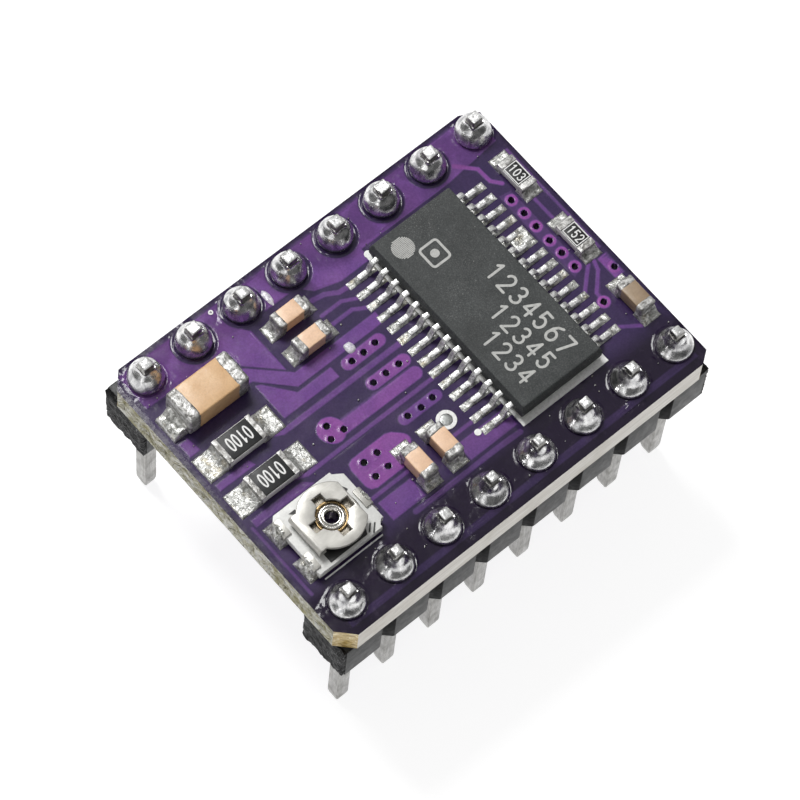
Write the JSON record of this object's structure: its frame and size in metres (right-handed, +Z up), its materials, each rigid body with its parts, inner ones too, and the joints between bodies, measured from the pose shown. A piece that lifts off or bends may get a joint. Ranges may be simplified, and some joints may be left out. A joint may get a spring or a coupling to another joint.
{
  "type": "stepper driver module",
  "caption": "Small stepper motor driver board standing on two pin strips, with a multi-lead driver chip, a turnable trimmer and chip resistors and capacitors.",
  "frame": {"origin": "middle of the pin grid, level with the pin tips that the module stands on", "axes": "+X along the board from the trimmer end to the pull-up resistor end, +Y across it from pin row a to pin row b, +Z up from the pin tips to the component side"},
  "size_m": [0.0204, 0.0153, 0.0121],
  "materials": {
    "board_mask": "glossy purple solder mask over glass-epoxy laminate",
    "strip_plastic": "black moulded pin strip plastic, satin",
    "pin_metal": "tinned square pins",
    "solder": "bright solder",
    "chip_resin": "dark grey moulded resin, fine matt grain",
    "lead_metal": "tin plated lead frame",
    "copper": "copper heat pad",
    "silicon": "silicon die",
    "trimmer_ceramic": "white alumina",
    "resistive_ink": "black fired resistive ink",
    "trimmer_metal": "nickel plated sheet, satin",
    "capacitor_ceramic": "tan fired ceramic with tinned ends",
    "capacitor_ceramic_dark": "brown fired ceramic with tinned ends",
    "resistor_body": "black glazed resistor with tinned ends"
  },
  "bodies": {
    "board": {"pcb": "board_mask", "header_strip_a": "strip_plastic", "header_strip_b": "strip_plastic", "header_pin_a1": "pin_metal", "header_pin_a2": "pin_metal", "header_pin_a3": "pin_metal", "header_pin_a4": "pin_metal", "header_pin_a5": "pin_metal", "header_pin_a6": "pin_metal", "header_pin_a7": "pin_metal", "header_pin_a8": "pin_metal", "header_pin_b1": "pin_metal", "header_pin_b2": "pin_metal", "header_pin_b3": "pin_metal", "header_pin_b4": "pin_metal", "header_pin_b5": "pin_metal", "header_pin_b6": "pin_metal", "header_pin_b7": "pin_metal", "header_pin_b8": "pin_metal", "solder_joint_a1": "solder", "solder_joint_a2": "solder", "solder_joint_a3": "solder", "solder_joint_a4": "solder", "solder_joint_a5": "solder", "solder_joint_a6": "solder", "solder_joint_a7": "solder", "solder_joint_a8": "solder", "solder_joint_b1": "solder", "solder_joint_b2": "solder", "solder_joint_b3": "solder", "solder_joint_b4": "solder", "solder_joint_b5": "solder", "solder_joint_b6": "solder", "solder_joint_b7": "solder", "solder_joint_b8": "solder", "driver_chip_package": "chip_resin", "driver_chip_leads_a": "lead_metal", "driver_chip_leads_b": "lead_metal", "driver_chip_heat_pad": "copper", "driver_chip_die": "silicon", "trimmer_base": "trimmer_ceramic", "trimmer_track": "resistive_ink", "trimmer_eyelet": "trimmer_metal", "trimmer_wiper_terminal": "trimmer_metal", "trimmer_end_terminal_1": "trimmer_metal", "trimmer_end_terminal_2": "trimmer_metal", "bulk_capacitor": "capacitor_ceramic", "charge_pump_capacitor_1": "capacitor_ceramic", "charge_pump_capacitor_2": "capacitor_ceramic", "supply_capacitor_1": "capacitor_ceramic", "supply_capacitor_2": "capacitor_ceramic", "logic_capacitor": "capacitor_ceramic_dark", "sense_resistor_1": "resistor_body", "sense_resistor_2": "resistor_body", "pullup_resistor": "resistor_body", "mode_resistor": "resistor_body"},
    "rotor": {"trimmer_rotor": "trimmer_metal"}
  },
  "joints": [
    {"name": "trimmer_turn", "type": "hinge", "parent": "board", "child": "rotor", "pos_m": [-0.00727, -0.00343, 0.0116], "axis": [0, 0, 1], "range_deg": [-125, 125]}
  ]
}
